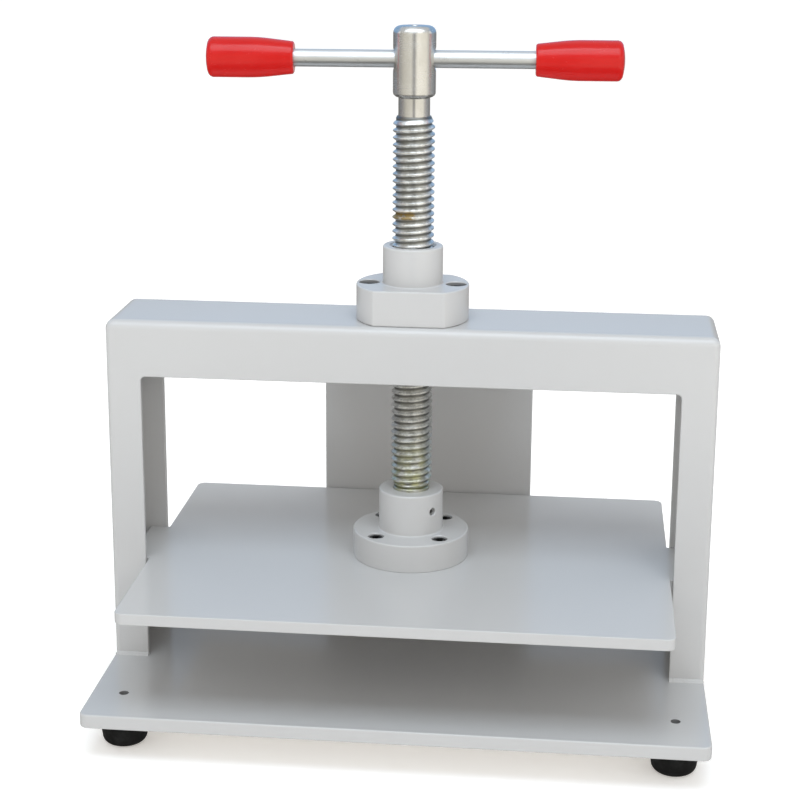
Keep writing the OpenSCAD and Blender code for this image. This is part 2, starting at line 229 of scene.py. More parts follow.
def drill(obj, r, z0, z1, matrix, chamfer=0.0, segments=64):
    """Cuts a round hole from z0 to z1 along local Z, with a chamfer at its upper end."""
    profile = [(0, z0), (r, z0), (r, z1 - chamfer)]
    profile += [(r + 3 * chamfer, z1 + 2 * chamfer), (0, z1 + 2 * chamfer)]
    return combine(obj, lathe("cut", profile, matrix, segments), "DIFFERENCE")


def plate(name, outline, z0, z1, bevel, matrix=None, steps=3):
    """A flat plate from a closed outline, with its upper and lower rims rounded."""
    bm = bmesh.new()
    low = [bm.verts.new((x, y, z0)) for x, y in outline]
    face = bm.faces.new(low)
    top = bmesh.ops.extrude_face_region(bm, geom=[face])["geom"]
    for v in top:
        if isinstance(v, bmesh.types.BMVert):
            v.co.z = z1
    bm.faces.ensure_lookup_table()
    rims = [e for e in bm.edges if abs(e.verts[0].co.z - e.verts[1].co.z) < 1e-9]
    bmesh.ops.bevel(bm, geom=rims, offset=bevel, segments=steps, profile=0.5,
                    affect="EDGES", clamp_overlap=False)
    if matrix is not None:
        bmesh.ops.transform(bm, matrix=matrix, verts=bm.verts)
    return new_object(name, bm)


def at(x, y, z):
    """A move to a point."""
    return Matrix.Translation((x, y, z))


def on_axis(z):
    """A move to a height on the screw's axis."""
    return at(AXIS_X, AXIS_Y, z)


def towards(origin, direction):
    """A matrix that puts local Z along the direction, from the origin."""
    turn = direction.to_track_quat("Z", "Y").to_matrix().to_4x4()
    return Matrix.Translation(origin) @ turn


def place(obj, body, slot, material, *nodes):
    """Rides the piece on its body, gives its finish, and hides the CAD nodes it stands for."""
    obj.data.materials.clear()
    obj.data.materials.append(material)
    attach(obj, body)
    if nodes:
        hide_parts(*nodes)
    return obj


# ---- material helpers
class Finish:
    """A node material with one Principled shader and a few short ways to feed it."""

    def __init__(self, name, **values):
        self.material = bpy.data.materials.new(name)
        self.material.use_nodes = True
        self.tree = self.material.node_tree
        self.shader = self.tree.nodes["Principled BSDF"]
        for key, value in values.items():
            self.shader.inputs[key.replace("_", " ")].default_value = value
        self.coordinates = self.node("ShaderNodeTexCoord").outputs["Object"]

    def node(self, kind, **settings):
        made = self.tree.nodes.new(kind)
        for key, value in settings.items():
            setattr(made, key, value)
        return made

    def link(self, source, target):
        self.tree.links.new(source, target)

    def feed(self, socket, value):
        if hasattr(value, "is_linked"):
            self.link(value, socket)
        else:
            socket.default_value = value

    def noise(self, scale, detail=4.0, roughness=0.55, stretch=(1, 1, 1)):
        mapping = self.node("ShaderNodeMapping")
        mapping.inputs["Scale"].default_value = stretch
        self.link(self.coordinates, mapping.inputs["Vector"])
        texture = self.node("ShaderNodeTexNoise")
        texture.inputs["Scale"].default_value = scale
        texture.inputs["Detail"].default_value = detail
        texture.inputs["Roughness"].default_value = roughness
        self.link(mapping.outputs["Vector"], texture.inputs["Vector"])
        return texture.outputs["Fac"]

    def ramp(self, value, low, high, out_low=0.0, out_high=1.0):
        made = self.node("ShaderNodeMapRange")
        self.feed(made.inputs["Value"], value)
        made.inputs["From Min"].default_value = low
        made.inputs["From Max"].default_value = high
        made.inputs["To Min"].default_value = out_low
        made.inputs["To Max"].default_value = out_high
        return made.outputs["Result"]

    def math(self, operation, a, b=0.0):
        made = self.node("ShaderNodeMath", operation=operation)
        self.feed(made.inputs[0], a)
        self.feed(made.inputs[1], b)
        return made.outputs["Value"]

    def mix(self, factor, a, b):
        made = self.node("ShaderNodeMix", data_type="RGBA")
        self.feed(made.inputs["Factor"], factor)
        self.feed(made.inputs["A"], a)
        self.feed(made.inputs["B"], b)
        return made.outputs["Result"]

    def axes(self):
        """x, y and z in the part's frame."""
        split = self.node("ShaderNodeSeparateXYZ")
        self.link(self.coordinates, split.inputs["Vector"])
        return split.outputs["X"], split.outputs["Y"], split.outputs["Z"]

    def bore(self, x, centre, along, radius):
        """1 inside a pair of upright holes at plus and minus centre, and 0 outside them."""
        across = self.math("SUBTRACT", self.math("ABSOLUTE", x), centre)
        return self.ramp(self.distance(across, along), radius + 0.15 * MM, radius - 0.1 * MM)

    def distance(self, a, b):
        """The length of the vector (a, b)."""
        squares = self.math("ADD", self.math("MULTIPLY", a, a), self.math("MULTIPLY", b, b))
        return self.math("SQRT", squares)

    def bump(self, height, distance, strength=1.0):
        made = self.node("ShaderNodeBump")
        made.inputs["Distance"].default_value = distance
        made.inputs["Strength"].default_value = strength
        self.feed(made.inputs["Height"], height)
        return made.outputs["Normal"]

    def set(self, socket, value):
        self.feed(self.shader.inputs[socket], value)


def grey(value, tint=(1.0, 1.0, 1.0)):
    """A grey with a tint, as RGBA."""
    return tuple(value * t for t in tint) + (1.0,)


def make_enamel():
    """Gloss light grey enamel, very slightly uneven. The insides of the holes for the foot screws
    and of the counterbores for the nut's bolts are painted dark: painted shade in those recesses."""
    look = Finish("enamel", Roughness=0.26, Coat_Weight=0.2, Coat_Roughness=0.12, Specular_IOR_Level=0.5)
    paint = look.mix(look.noise(5, 1), grey(0.52, (1.0, 0.984, 0.966)), grey(0.535, (1.0, 0.986, 0.97)))
    x, y, z = look.axes()
    foot_x, foot_y = foot_centre("foot_rear_right")
    # Painted shade: masks for the walls of the foot screws' holes and of the nut bolts' counterbores.
    foot_hole_shade = look.bore(x, foot_x, look.math("SUBTRACT", look.math("ABSOLUTE", y), foot_y), FOOT_HOLE_R)
    counterbore_shade = look.bore(x, nut_bolt_places()[1], look.math("SUBTRACT", y, AXIS_Y), COUNTERBORE_R)
    counterbore_shade = look.math("MULTIPLY", counterbore_shade, look.ramp(z, BEAM_TOP, BEAM_TOP + MM))
    # Painted shade: near-black inside the foot screws' holes, dark grey inside the counterbores.
    painted = look.mix(foot_hole_shade, paint, grey(0.02))
    look.set("Base Color", look.mix(counterbore_shade, painted, grey(0.16)))
    look.set("Normal", look.bump(look.noise(120, 1), 0.05 * MM, 0.1))
    return look.material


def make_turned_steel():
    """Bright turned steel: fine rings round the screw's axis, and slight mottling."""
    look = Finish("turned_steel", Metallic=1.0, Anisotropic=0.8, Anisotropic_Rotation=0.25)
    rings = look.noise(1500, 2, 0.6, (0.02, 0.02, 1))
    stains = look.noise(70, 4)
    dull, bright = grey(0.63, (1.0, 0.985, 0.95)), grey(0.72, (1, 0.99, 0.965))
    base = look.mix(look.ramp(stains, 0.35, 0.7), dull, bright)
    pits = look.ramp(look.noise(520, 3), 0.68, 0.76)
    look.set("Base Color", look.mix(look.math("MULTIPLY", pits, 0.5), base, grey(0.3, (1, 0.95, 0.9))))
    rough = look.math("ADD", look.ramp(rings, 0.2, 0.8, 0.20, 0.26), look.ramp(stains, 0.3, 0.7, 0.0, 0.05))
    look.set("Roughness", rough)
    look.set("Normal", look.bump(rings, 0.02 * MM, 0.12))
    return look.material


def make_thread_steel():
    """The zinc-plated thread: painted shade in the roots, which are coloured darker than the crests, a
    brown stain and grease low down.
    """
    look = Finish("thread_steel", Metallic=1.0)
    x, y, z = look.axes()
    dy = look.math("SUBTRACT", y, AXIS_Y)
    radius = look.distance(x, dy)
    # Painted shade: the colour darkens from the crests down into the thread's roots.
    height = look.ramp(radius, ROOT_R, ROOT_R + 0.6 * MM)
    mottle = look.noise(260, 5, 0.65)
    crest = look.mix(look.ramp(mottle, 0.38, 0.62), grey(0.58, (1, 1.0, 0.97)), grey(0.93, (1, 1, 0.985)))
    base = look.mix(height, grey(0.2, (1, 1, 0.94)), crest)
    grease_zone = look.ramp(z, THREAD_LOW + 46 * MM, THREAD_LOW + 12 * MM)
    grease = look.math("MULTIPLY", grease_zone, look.ramp(look.noise(150, 4), 0.36, 0.62))
    base = look.mix(look.math("MULTIPLY", grease, 0.6), base, (0.52, 0.52, 0.27, 1.0))
    away = look.math("ABSOLUTE", look.math("SUBTRACT", z, NUT_HIGH.z + 21.5 * MM))
    band = look.ramp(away, 2.9 * MM, 1.5 * MM)
    side = look.ramp(x, 4 * MM, MM)
    facing = look.ramp(y, AXIS_Y + MM, AXIS_Y - 3 * MM)
    stain = look.math("MULTIPLY", band, look.math("MULTIPLY", side, facing))
    stain = look.math("MULTIPLY", stain, look.ramp(look.noise(420, 4), 0.32, 0.5))
    base = look.mix(look.math("MULTIPLY", stain, 0.85), base, (0.36, 0.24, 0.06, 1.0))
    look.set("Base Color", base)
    rough = look.math("ADD", look.ramp(mottle, 0.3, 0.7, 0.28, 0.42), look.math("MULTIPLY", stain, 0.25))
    look.set("Roughness", rough)
    look.set("Normal", look.bump(look.noise(620, 4), 0.2 * MM, 0.75))
    return look.material


def make_bar_steel():
    """Bright plated bar, with faint scuffs along it."""
    look = Finish("bar_steel", Metallic=1.0)
    scuffs = look.noise(240, 4, 0.6, (0.15, 1, 1))
    spots = look.ramp(look.noise(90, 5, 0.7), 0.60, 0.74)
    base = look.mix(look.math("MULTIPLY", spots, 0.6), grey(0.74, (0.97, 0.99, 1.0)), grey(0.42))
    look.set("Base Color", base)
    marks = look.math("MULTIPLY", spots, 0.12)
    look.set("Roughness", look.math("ADD", look.ramp(scuffs, 0.3, 0.7, 0.34, 0.42), marks))
    look.set("Normal", look.bump(scuffs, 0.03 * MM, 0.3))
    return look.material


def make_zinc():
    """Zinc-plated small parts."""
    look = Finish("zinc", Metallic=1.0)
    mottle = look.noise(400, 4)
    look.set("Base Color", look.mix(mottle, grey(0.30), grey(0.5, (0.98, 1.0, 1.0))))
    look.set("Roughness", look.ramp(mottle, 0.3, 0.7, 0.28, 0.42))
    look.set("Normal", look.bump(look.noise(900, 3), 0.03 * MM, 0.4))
    return look.material


def make_black_oxide():
    """Black-oxide socket screws."""
    look = Finish("black_oxide", Metallic=0.7)
    mottle = look.noise(500, 4)
    look.set("Base Color", look.mix(mottle, grey(0.012), grey(0.03)))
    look.set("Roughness", look.ramp(mottle, 0.3, 0.7, 0.34, 0.5))
    return look.material


def make_bronze():
    """Turned bronze."""
    look = Finish("bronze", Metallic=1.0)
    rings = look.noise(1500, 2, 0.5, (0.05, 0.05, 1))
    look.set("Base Color", look.mix(rings, (0.42, 0.26, 0.09, 1), (0.60, 0.40, 0.16, 1)))
    look.set("Roughness", look.ramp(rings, 0.3, 0.7, 0.25, 0.4))
    return look.material


def make_rubber():
    """Matt black moulded rubber, dusty in places."""
    look = Finish("rubber", Specular_IOR_Level=0.35)
    dust = look.ramp(look.noise(140, 5, 0.7), 0.45, 0.8)
    look.set("Base Color", look.mix(dust, grey(0.006), grey(0.02)))
    look.set("Roughness", look.ramp(look.noise(300, 3), 0.3, 0.7, 0.45, 0.62))
    look.set("Normal", look.bump(look.noise(1800, 3), 0.08 * MM, 0.5))
    return look.material


def make_red_plastic():
    """Gloss red moulded plastic with very faint handling marks."""
    look = Finish("red_plastic", Specular_IOR_Level=0.36)
    cloud = look.noise(70, 4)
    look.set("Base Color", look.mix(cloud, (0.50, 0.002, 0.001, 1.0), (0.57, 0.004, 0.002, 1.0)))
    scuffs = look.ramp(look.noise(700, 4, 0.7, (0.25, 1, 1)), 0.5, 0.8)
    marks = look.math("MULTIPLY", scuffs, 0.1)
    look.set("Roughness", look.math("ADD", look.ramp(cloud, 0.3, 0.7, 0.17, 0.24), marks))
    look.set("Normal", look.bump(look.noise(160, 2), 0.06 * MM, 0.25))
    return look.material


# ---- frame
def frame_stations():
    """Stations up the right post, round the corner and along the beam to its middle.
    Each has two functions, outer(inset) and window(offset), that give (x, z), and a fold radius."""
    half, top, r = POST_HIGH.x, BEAM_TOP, FRAME_CORNER_R
    wx, wz = POST_LOW.x, BEAM_BOTTOM
    cx, cz = wx - WINDOW_R, wz - WINDOW_R
    swing = 35

    def window_arc(angle):
        c, s = math.cos(math.radians(angle)), math.sin(math.radians(angle))
        return lambda o: (cx + (WINDOW_R + o) * c, cz + (WINDOW_R + o) * s)

    def side(z):
        return lambda i: (half - i, z)

    def across(x):
        return lambda i: (x, top - i)

    def corner(angle):
        c, s = math.cos(math.radians(angle)), math.sin(math.radians(angle))
        return lambda i: (half - r + (r - i) * c, top - r + (r - i) * s)

    def straight(z):
        return lambda o: (wx + o, z)

    def level(x):
        return lambda o: (x, wz + o)

    stations = [(side(z), straight(z), POST_FOLD_R) for z in (POST_LOW.z, (POST_LOW.z + cz) / 2)]
    for i in range(5):
        t = i / 5
        stations.append((side(cz + (top - r - cz) * t), window_arc(swing * t), POST_FOLD_R))
    for i in range(9):
        t = i / 8
        fold = POST_FOLD_R + (BEAM_FOLD_R - POST_FOLD_R) * t
        stations.append((corner(90 * t), window_arc(swing + (90 - 2 * swing) * t), fold))
    for i in range(1, 6):
        t = i / 5
        x = (half - r) + (cx - (half - r)) * t
        stations.append((across(x), window_arc(90 - swing + swing * t), BEAM_FOLD_R))
    stations += [(across(cx * t), level(cx * t), BEAM_FOLD_R) for t in (0.66, 0.33)]
    return stations


def frame_section(outer, window, fold):
    """The closed section of the folded frame at one station, as (x, y, z) points."""
    front, rear = POST_LOW.y, POST_HIGH.y
    rear_fold = POST_FOLD_R
    loop = []

    def sweep(across_path, path, y, r_path, r_y, y_side, flip, steps):
        """A quarter turn between the path's direction and Y."""
        for k in range(steps + 1):
            a = math.radians(90 * k / steps)
            c, n = (math.cos(a), math.sin(a)) if flip else (math.sin(a), math.cos(a))
            point = path(across_path + r_path * (1 - c))
            loop.append((point[0], y + y_side * r_y * (1 - n), point[1]))

    inner_front, inner_rear = fold - WALL, rear_fold - WALL
    sweep(0, outer, front, fold, fold, 1, False, 8)
    sweep(0, outer, rear, rear_fold, rear_fold, -1, True, 8)
    sweep(0, window, rear, EDGE, EDGE, -1, False, 3)
    sweep(0, window, rear - WALL, EDGE, EDGE, 1, True, 3)
    sweep(WALL, outer, rear - WALL, inner_rear, inner_rear, -1, False, 4)
    sweep(WALL, outer, front + WALL, inner_front, inner_front, 1, True, 4)
    sweep(0, window, front + WALL, EDGE, EDGE, -1, False, 3)
    sweep(0, window, front, EDGE, EDGE, 1, True, 3)
    return loop


def make_frame(enamel):
    """Posts and beam as one folded and welded shell with its seams ground smooth."""
    right = [frame_section(*station) for station in frame_stations()]
    left = [[(-x, y, z) for x, y, z in loop] for loop in reversed(right)]
    bm = bmesh.new()
    rings = [[bm.verts.new(p) for p in loop] for loop in right + left]
    for a, b in zip(rings, rings[1:]):
        for i in range(len(a)):
            j = (i + 1) % len(a)
            bm.faces.new([a[i], a[j], b[j], b[i]])
    bm.faces.new(rings[0])
    bm.faces.new(rings[-1])
    obj = new_object("press_frame", bm)
    low, high = BEAM_TOP - WALL - MM, BEAM_TOP + MM
    drill(obj, BEAM_HOLE_R, low, high, on_axis(0))
    for x in nut_bolt_places():
        drill(obj, CLEARANCE_R, low, high, at(x, AXIS_Y, 0))
    return place(smooth(obj), "frame", "enamel", enamel, "left_post", "right_post", "top_beam")


def weld_path(face_y, out):
    """Points and outward directions along a post's foot: its flat face, then round its fold."""
    fold_x, fold_y = POST_HIGH.x - POST_FOLD_R, face_y - out * POST_FOLD_R
    count = 26
    path = []
    for i in range(count + 1):
        x = POST_LOW.x + (fold_x - POST_LOW.x) * i / count
        path.append((x, face_y, 0.0, float(out)))
    for i in range(1, 9):
        a = math.radians(62 * i / 8)
        path.append((fold_x + POST_FOLD_R * math.sin(a), fold_y + out * POST_FOLD_R * math.cos(a),
                     math.sin(a), out * math.cos(a)))
    return path


def make_welds(enamel):
    """Fillet beads where the posts meet the base plate, slightly uneven under the paint."""
    leg = 2.4 * MM
    bm = bmesh.new()
    for side in (-1, 1):
        for face_y, out in ((POST_LOW.y, -1), (POST_HIGH.y, 1)):
            path = weld_path(face_y, out)
            rings = []
            for i, (x, y, nx, ny) in enumerate(path):
                room = (POST_HIGH.x - x) / nx if nx > 0.05 else leg
                size = min(leg * (0.93 + 0.07 * math.sin(i * 1.9)), max(room, 0.2 * MM))
                ring = [bm.verts.new((side * x, y, POST_LOW.z))]
                for k in range(7):
                    a = math.radians(90 * k / 6)
                    reach = size * (0.72 + 0.28 * abs(math.cos(2 * a)))
                    ring.append(bm.verts.new((side * (x + nx * reach * math.cos(a)),
                                              y + ny * reach * math.cos(a),
                                              POST_LOW.z + reach * math.sin(a))))
                rings.append(ring)
            for a, b in zip(rings, rings[1:]):
                for j in range(len(a)):
                    k = (j + 1) % len(a)
                    bm.faces.new([a[j], a[k], b[k], b[j]])
            bm.faces.new(rings[0])
            bm.faces.new(rings[-1])
    obj = smooth(new_object("post_weld_beads", bm), 50)
    return place(obj, "frame", "enamel", enamel, "post_welds")


def rounded_rectangle(low, high, r):
    """The outline of a box from above, with round corners."""
    corners = (low.x, low.y, r), (high.x, low.y, r), (high.x, high.y, r), (low.x, high.y, r)
    return rounded(corners, steps=10)


def make_base(enamel):
    """The base plate, with a hole for each foot's screw."""
    obj = plate("base_plate_painted", rounded_rectangle(BASE_LOW, BASE_HIGH, PLATE_CORNER_R),
                BASE_LOW.z, BASE_HIGH.z, 1.2 * MM, steps=4)
    for name in FEET:
        drill(obj, FOOT_HOLE_R, BASE_LOW.z - MM, BASE_HIGH.z + MM, at(*foot_centre(name), 0))
    return place(smooth(obj), "frame", "enamel", enamel, "base_plate")


def make_brace(enamel):
    """The bent plate behind the frame."""
    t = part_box("rear_brace")[1].y - BASE_HIGH.y + 4 * MM
    rear, top, front = BRACE_HIGH.y, BRACE_HIGH.z, BRACE_LOW.y
    bend = t + 2 * MM
    outline = [(front, top - t), (front, top)]
    outline += arc(rear - bend, top - bend, bend, 90, 0, 10)
    outline += [(rear, BRACE_LOW.z), (rear - t, BRACE_LOW.z)]
    outline += arc(rear - bend, top - bend, bend - t, 0, 90, 6)
    turn = Matrix(((0, 0, 1, 0), (1, 0, 0, 0), (0, 1, 0, 0), (0, 0, 0, 1)))
    obj = plate("rear_brace_bent", outline, BRACE_LOW.x, BRACE_HIGH.x, EDGE, turn)
    return place(smooth(obj), "frame", "enamel", enamel, "rear_brace")


def nut_bolt_places():
    """The X of each of the nut's two bolts, from the box of their heads."""
    low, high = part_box("main_nut_bolts")
    return [low.x + NUT_BOLT_HEAD_R, high.x - NUT_BOLT_HEAD_R]


def make_nut(enamel):
    """The nut on the beam: a flange with two flats, and a boss. Its bolts are sunk in it."""
    flange_r, half_flats = (NUT_HIGH.x - NUT_LOW.x) / 2, (NUT_HIGH.y - NUT_LOW.y) / 2
    flange_t, boss_r, h = 25 * MM, 21 * MM, NUT_HIGH.z - NUT_LOW.z
    bore, mouth = 14.8 * MM, 16.1 * MM
    corner = math.degrees(math.asin(half_flats / flange_r)) - 1.3
    inset = flange_r * math.cos(math.radians(corner)) - 1.1 * MM
    outline = arc(0, 0, flange_r, -corner, corner, 40)
    outline += [(inset, half_flats), (-inset, half_flats)]
    outline += arc(0, 0, flange_r, 180 - corner, 180 + corner, 40)
    outline += [(-inset, -half_flats), (inset, -half_flats)]
    obj = plate("main_nut_painted", outline, 0, flange_t, 1.1 * MM, on_axis(NUT_LOW.z), steps=4)
    profile = [(0, flange_t / 2), (boss_r, flange_t / 2), (boss_r + MM, flange_t - 0.2 * MM)]
    profile += rounded([(boss_r + MM, flange_t, 0), (boss_r, flange_t, MM), (boss_r, h, 1.4 * MM),
                        (0, h, 0)], closed=False)
    combine(obj, lathe("boss", profile, on_axis(NUT_LOW.z)), "UNION")
    hole = [(0, -MM), (bore, -MM), (bore, h - 1.6 * MM), (mouth, h - 0.3 * MM), (mouth + MM, h + MM),
            (0, h + MM)]
    combine(obj, lathe("cut", hole, on_axis(NUT_LOW.z)), "DIFFERENCE")
    for x in nut_bolt_places():
        spot = at(x, AXIS_Y, NUT_LOW.z)
        drill(obj, COUNTERBORE_R, flange_t - 10.2 * MM, flange_t - 0.35 * MM, spot, 0.35 * MM)
        drill(obj, CLEARANCE_R, -MM, flange_t - 5 * MM, spot)
    return place(smooth(obj), "frame", "enamel", enamel, "main_nut")


def make_cap_screws(name, spots, shank_r, shank_len, head_r, head_h, key_af):
    """Socket-head cap screws with fluted heads. Each spot is the seat under one head."""
    parts = []
    for spot in spots:
        profile = rounded([
            (0, -shank_len, 0), (shank_r - 0.6 * MM, -shank_len, 0),
            (shank_r, -shank_len + 0.7 * MM, 0), (shank_r, 0, 0), (head_r - 0.2 * MM, 0, 0),
            (head_r, 0.2 * MM, 0),
            (head_r, head_h - 0.9 * MM, 0), (head_r - 0.5 * MM, head_h, 0.4 * MM), (0, head_h, 0)],
            closed=False)
        screw = lathe("screw", profile, at(*spot), 96, flutes=(0.3 * MM, head_h - MM, 0.12 * MM))
        key = lathe("key", [(0, head_h * 0.45), (key_af / math.sqrt(3), head_h * 0.5),
                            (key_af / math.sqrt(3), head_h + MM), (0, head_h + MM)], at(*spot), 6)
        combine(screw, key, "DIFFERENCE")
        parts.append(screw)
    return smooth(join(name, parts))


def join(name, parts):
    """One object from several, which are removed."""
    bm = bmesh.new()
    for part in parts:
        bm.from_mesh(part.data)
        bpy.data.objects.remove(part)
    return mesh_object(name, bm)


# ---- feet
def foot_centre(name):
    """The X and Y of a foot's middle."""
    low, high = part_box(name)
    return (low.x + high.x) / 2, (low.y + high.y) / 2


def make_foot(name, rubber):
    """A round bumper foot with a recess under it for its screw."""
    low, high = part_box(name)
    h, top_r, floor_r, recess = high.z, (high.x - low.x) / 2, 10 * MM, 6.2 * MM
    profile = [(recess, 9.5 * MM), (recess, 0.5 * MM), (recess + 0.5 * MM, 0)]
    profile += arc(floor_r, 5.5 * MM, 5.5 * MM, -90, -12, 9)
    profile += rounded([(15.6 * MM, 6.2 * MM, 0), (top_r - 0.2 * MM, 14 * MM, 9 * MM),
                        (top_r, h - 3 * MM, 4 * MM), (top_r, h - 0.6 * MM, 0),
                        (top_r - 0.6 * MM, h, 0)], closed=False)
    profile += [(FOOT_HOLE_R, h), (FOOT_HOLE_R, 9.5 * MM)]
    obj = lathe(name + "_rubber", profile, at(*foot_centre(name), 0), 96, closed=True)
    return place(smooth(obj, 40), "frame", "rubber", rubber, name)


def make_foot_screws(zinc):
    """The screws that hold the feet; their domed ends show in the base plate's holes."""
    low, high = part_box("foot_screws")
    parts = []
    for name in FEET:
        x, y = foot_centre(name)
        head_top = low.z + 4.5 * MM
        profile = rounded([
            (0, low.z + 0.2 * MM, 0), (3.6 * MM, low.z, 1 * MM), (5 * MM, low.z + 1.4 * MM, 1 * MM),
            (5 * MM, head_top, 0), (2.95 * MM, head_top, 0), (2.95 * MM, high.z - 1.1 * MM, 0),
            (2.1 * MM, high.z - 0.2 * MM, 0.5 * MM), (0, high.z, 0)], closed=False)
        screw = lathe("screw", profile, at(x, y, 0), 64)
        key = lathe("key", [(0, low.z - MM), (2.3 * MM, low.z - MM), (2.3 * MM, low.z + 2.4 * MM),
                            (0, low.z + 2.9 * MM)], at(x, y, 0), 6)
        parts.append(combine(screw, key, "DIFFERENCE"))
    obj = smooth(join("foot_screws_zinc", parts))
    return place(obj, "frame", "zinc_steel", zinc, "foot_screws")


# ---- platen and socket
def make_platen(enamel):
    """The platen with its two guide tabs."""
    tab_x = PLATEN_HIGH.x
    side_x = POST_LOW.x - 2 * MM
    tab_half = (POST_HIGH.y - POST_LOW.y) / 2 - WALL - 0.5 * MM
    y0, y1 = PLATEN_LOW.y, PLATEN_HIGH.y
    t0, t1 = AXIS_Y - tab_half, AXIS_Y + tab_half
    r, tab_r, root_r = PLATE_CORNER_R, 1.2 * MM, 0.8 * MM
    right = [(side_x, y0, r), (side_x, t0, root_r), (tab_x, t0, tab_r),
             (tab_x, t1, tab_r), (side_x, t1, root_r), (side_x, y1, r)]
    left = [(-x, y, c) for x, y, c in reversed(right)]
    outline = rounded(right + left, steps=8)
    obj = plate("platen_painted", outline, PLATEN_LOW.z, PLATEN_HIGH.z, 0.7 * MM)
    for x, y in socket_bolt_spots():
        drill(obj, 3.05 * MM, PLATEN_LOW.z - MM, PLATEN_HIGH.z + MM, at(x, y, 0))
    return place(smooth(obj), "platen", "enamel", enamel, "platen")


def socket_bolt_spots():
    """The four bolt places round the socket, from the box of the bolts' heads."""
    low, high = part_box("socket_bolts")
    reach = (high.x - low.x) / 2 - SOCKET_BOLT_HEAD_R
    return [(AXIS_X + sx * reach, AXIS_Y + sy * reach) for sx in (-1, 1) for sy in (-1, 1)]


def make_socket(enamel):
    """The flanged socket that the screw turns in."""
    flange_r, boss_r = (SOCKET_HIGH.x - SOCKET_LOW.x) / 2, 23 * MM
    flange_t, h, bore, floor = 20 * MM, SOCKET_HIGH.z - SOCKET_LOW.z, 12.8 * MM, 6 * MM
    profile = rounded([
        (0, 0, 0), (flange_r, 0, 0.5 * MM), (flange_r, flange_t, 1.1 * MM), (boss_r, flange_t, 1.2 * MM),
        (boss_r, h, 1.2 * MM), (bore, h, 0.5 * MM), (bore, floor, 0), (0, floor, 0)], closed=False)
    obj = lathe("screw_socket_painted", profile, on_axis(SOCKET_LOW.z))
    for x, y in socket_bolt_spots():
        spot = at(x, y, SOCKET_LOW.z)
        drill(obj, 5.6 * MM, flange_t - 7 * MM, flange_t - 0.2 * MM, spot, 0.3 * MM)
        drill(obj, 3.3 * MM, -MM, flange_t, spot)
    drill(obj, 2.65 * MM, 8 * MM, boss_r - 0.3 * MM, retainer_matrix(), 0.25 * MM, 48)
    return place(smooth(obj), "platen", "enamel", enamel, "screw_socket")


def retainer_matrix():
    """Local Z along the retaining screw, outwards from the screw's axis."""
    low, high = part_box("retaining_screw")
    middle = (low + high) / 2
    direction = Vector((middle.x - AXIS_X, middle.y - AXIS_Y, 0)).normalized()
    return towards(Vector((AXIS_X, AXIS_Y, middle.z)), direction)


def make_retainer(zinc):
    """The side screw that keeps the journal in the socket."""
    start, body, end = 11.15 * MM, 14.2 * MM, 21 * MM
    profile = rounded([
        (0, start, 0), (1.5 * MM, start, 0), (1.8 * MM, start + 0.3 * MM, 0), (1.8 * MM, body, 0),
        (2.6 * MM, body + 0.5 * MM, 0), (2.6 * MM, end - 0.4 * MM, 0), (2.2 * MM, end, 0), (0, end, 0)],
        closed=False)
    obj = lathe("retaining_screw_zinc", profile, retainer_matrix(), 64)
    key = lathe("key", [(0, end - 2.5 * MM), (1.5 * MM, end - 2.4 * MM), (1.5 * MM, end + MM),
                        (0, end + MM)], retainer_matrix(), 6)
    combine(obj, key, "DIFFERENCE")
    return place(smooth(obj), "platen", "zinc_steel", zinc, "retaining_screw")


# ---- lead screw
def thread_height(t):
    """The thread's section over one pitch: 0 at the root, 1 at the crest, softly rounded."""
    flank = abs((t % 1.0) - 0.5) * 2
    rise = 1 - min(1.0, max(0.0, (flank - 0.14) / 0.66))
    return 0.6 * rise + 0.4 * rise * rise * (3 - 2 * rise)


def make_thread(material):
    """The right-hand thread as a solid: its rows of vertices climb with the helix."""
    around, per_turn = 96, 16
    turns = int(round(THREAD_LEN / PITCH)) + 2
    start = THREAD_LOW - PITCH
    bm = bmesh.new()
    columns = []
    for j in range(around + 1):
        turn = j / around
        a = 2 * math.pi * turn
        column = []
        for k in range(turns * per_turn + 1):
            t = k / per_turn
            z = start + PITCH * (t + turn)
            to_end = max(0.0, min(z - THREAD_LOW, THREAD_HIGH - z))
            r = ROOT_R + (CREST_R - ROOT_R) * thread_height(t)
            r = min(r, CREST_R - RUNOUT + to_end / 2)
            column.append(bm.verts.new((r * math.cos(a), r * math.sin(a), z)))
        columns.append(column)
    for a, b in zip(columns, columns[1:]):
        for k in range(len(a) - 1):
            bm.faces.new([a[k], b[k], b[k + 1], a[k + 1]])
    bmesh.ops.remove_doubles(bm, verts=bm.verts, dist=1e-6)
    for height, up in ((THREAD_LOW, -1), (THREAD_HIGH, 1)):
        everything = list(bm.verts) + list(bm.edges) + list(bm.faces)
        bmesh.ops.bisect_plane(bm, geom=everything, dist=1e-7, plane_co=(0, 0, height),
                               plane_no=(0, 0, up), clear_outer=True)
        rim = [e for e in bm.edges if e.is_boundary and abs(e.verts[0].co.z - height) < 1e-6]
        bmesh.ops.holes_fill(bm, edges=rim, sides=0)
    bmesh.ops.translate(bm, vec=SCREW_AXIS, verts=bm.verts)
    obj = smooth(new_object("screw_thread", bm), 40)
    return place(obj, "screw", "screw_steel", material, "lead_screw")


def make_journal(material):
    """The plain lower end, with the groove that the retaining screw's tip runs in."""
    low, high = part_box("retaining_screw")
    groove_z = (low.z + high.z) / 2
    end, groove_r, half = SCREW_LOW.z, JOURNAL_R - 2 * MM, 2.4 * MM
    profile = [(0, end), (JOURNAL_R - MM, end), (JOURNAL_R, end + MM), (JOURNAL_R, groove_z - half),
               (groove_r, groove_z - half), (groove_r, groove_z + half), (JOURNAL_R, groove_z + half),
               (JOURNAL_R, THREAD_LOW - 0.5 * MM), (JOURNAL_R - 0.5 * MM, THREAD_LOW), (0, THREAD_LOW)]
    obj = smooth(lathe("screw_journal", profile, on_axis(0)))
    return place(obj, "screw", "screw_steel", material, "lead_screw")


